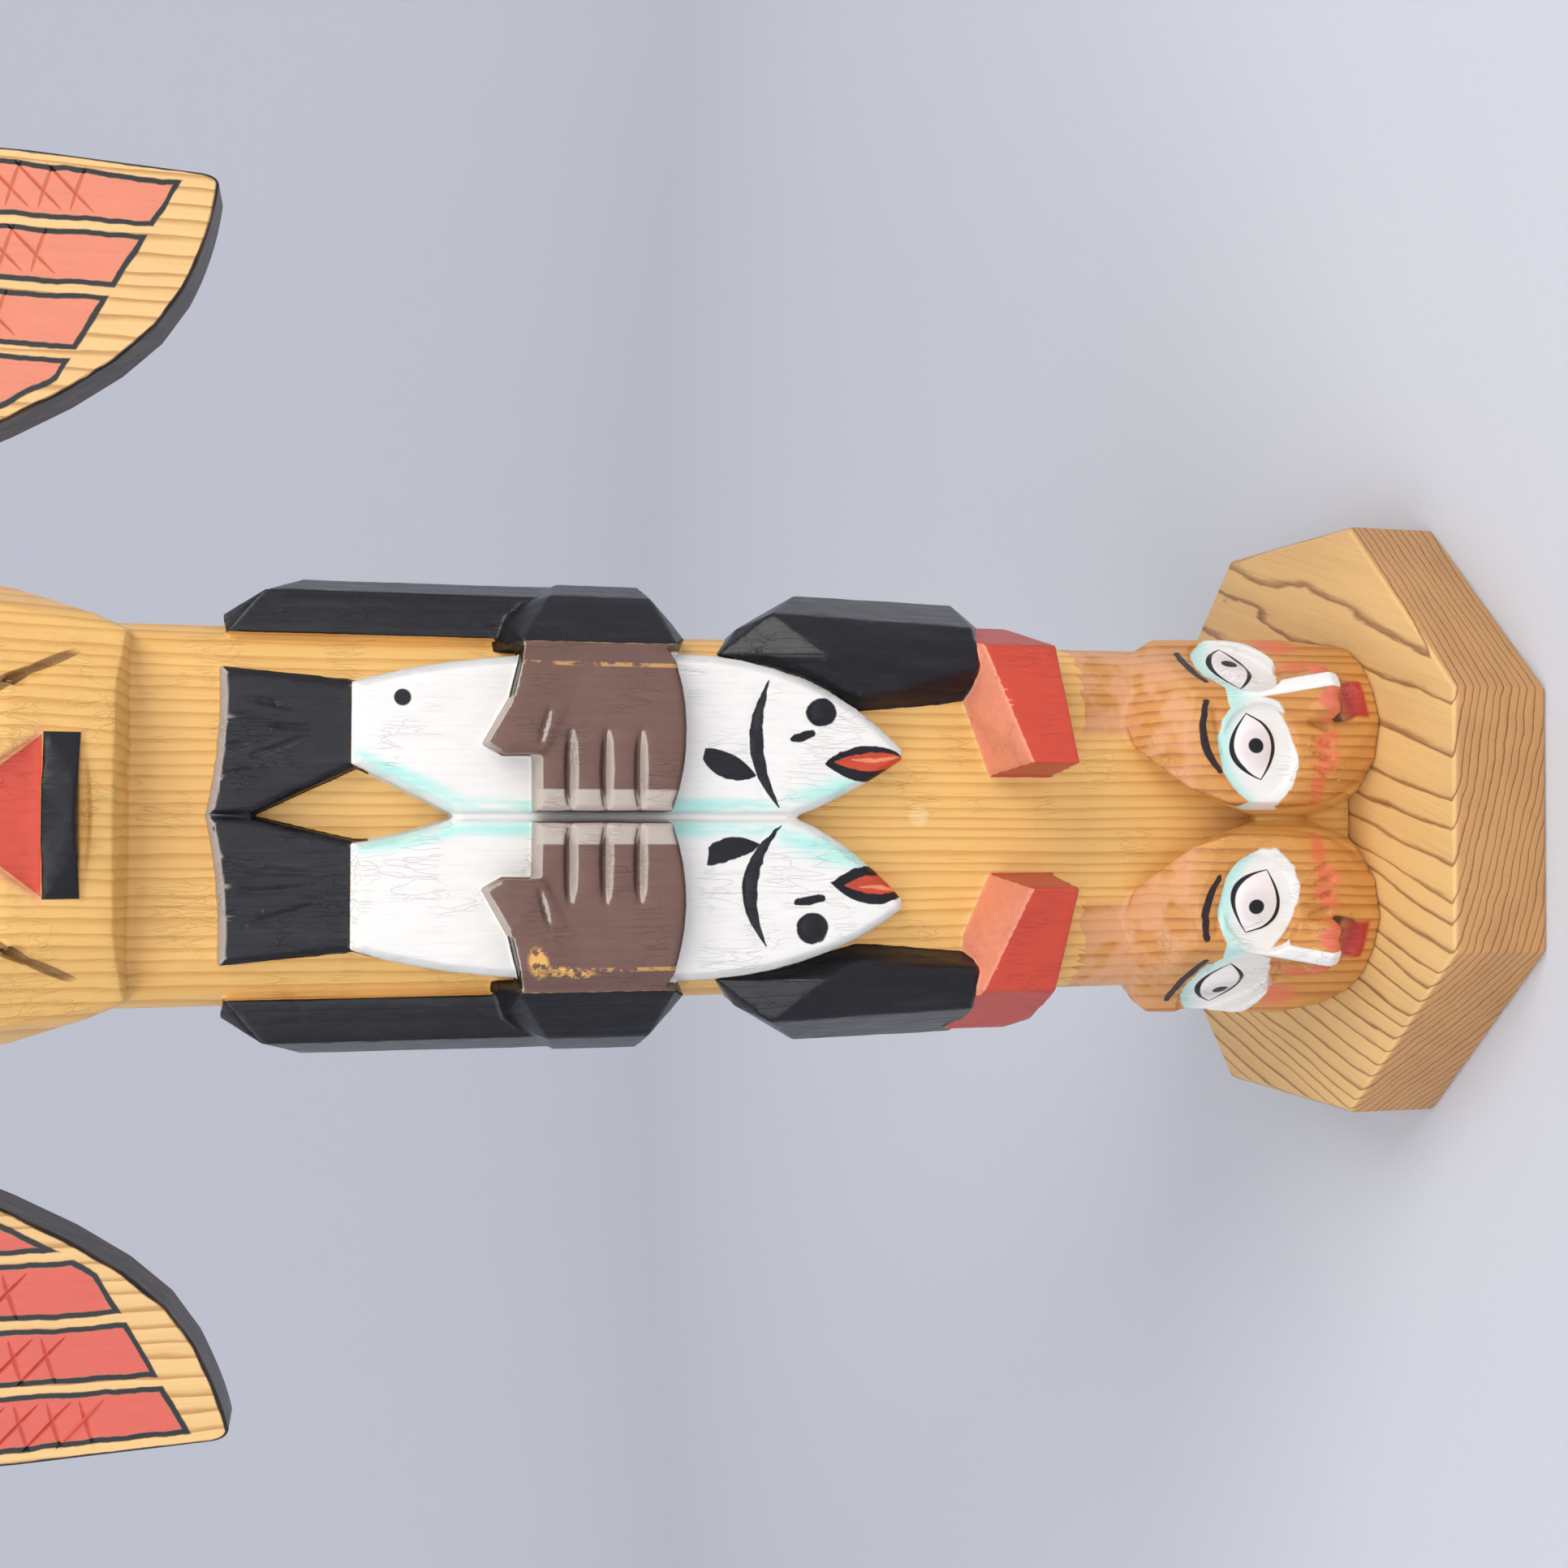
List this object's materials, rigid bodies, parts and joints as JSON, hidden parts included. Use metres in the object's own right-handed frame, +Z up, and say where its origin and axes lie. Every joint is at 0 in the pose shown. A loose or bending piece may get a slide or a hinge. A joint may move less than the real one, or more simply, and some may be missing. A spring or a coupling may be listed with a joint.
{
  "type": "totem pole",
  "caption": "Painted souvenir totem pole: carved stacked figures on an octagonal plinth, with two flat outspread wings.",
  "frame": {"origin": "middle of the octagonal plinth's underside", "axes": "+Z up along the pole; the figures face -Y; +X towards the wing on the viewer's right"},
  "size_m": [0.224, 0.114, 0.4763],
  "materials": {
    "base_wood": "clear varnished softwood",
    "pole_wood": "varnished cedar, partly painted black, red, white and brown",
    "wing_paint": "painted and varnished board"
  },
  "bodies": {
    "root": {"base": "base_wood", "pole": "pole_wood", "wing_left": "wing_paint", "wing_right": "wing_paint"}
  },
  "joints": []
}
